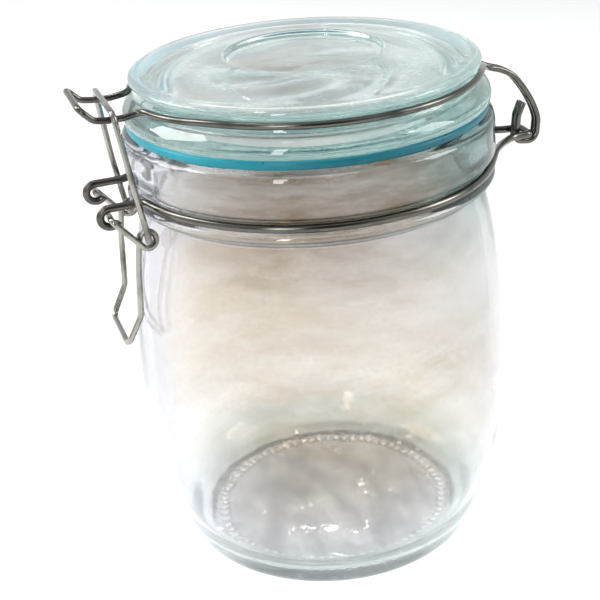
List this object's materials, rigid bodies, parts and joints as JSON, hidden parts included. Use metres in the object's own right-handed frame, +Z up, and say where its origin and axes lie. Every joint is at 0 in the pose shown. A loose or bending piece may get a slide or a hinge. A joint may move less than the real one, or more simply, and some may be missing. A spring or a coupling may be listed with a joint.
{
  "type": "clip-top glass storage jar",
  "caption": "Barrel-shaped glass storage jar with a hinged glass lid, a blue rubber seal and a wire clip latch.",
  "frame": {"origin": "centre of the flat underside that the jar stands on", "axes": "+Z up along the jar's axis, latch at the front towards -Y, hinge at the back towards +Y, +X to the right of someone facing +Y"},
  "size_m": [0.1086, 0.1365, 0.1464],
  "materials": {
    "jar_glass": "clear, slightly cool",
    "lid_glass": "clear, aqua tint",
    "blue_rubber": "satin, slightly translucent",
    "steel_wire": "bright drawn wire"
  },
  "bodies": {
    "jar": {"glass_jar": "jar_glass", "neck_band": "steel_wire"},
    "lid": {"glass_lid": "lid_glass", "gasket": "blue_rubber", "lid_wire": "steel_wire"},
    "lever": {"latch_lever": "steel_wire"},
    "link": {"latch_link": "steel_wire"}
  },
  "joints": [
    {"name": "lid_hinge", "type": "hinge", "parent": "jar", "child": "lid", "pos_m": [0, 0.067, 0.1126], "axis": [-1, 0, 0], "range_deg": [0, 110]},
    {"name": "lever_swing", "type": "hinge", "parent": "jar", "child": "lever", "pos_m": [0, -0.0597, 0.1117], "axis": [-1, 0, 0], "range_deg": [0, 160]},
    {"name": "link_swing", "type": "hinge", "parent": "lever", "child": "link", "pos_m": [0, -0.0508, 0.1048], "axis": [1, 0, 0], "range_deg": [0, 320]}
  ],
  "couplings": [
    {"joint": "link_swing", "follows": "lever_swing", "ratio": 2}
  ]
}
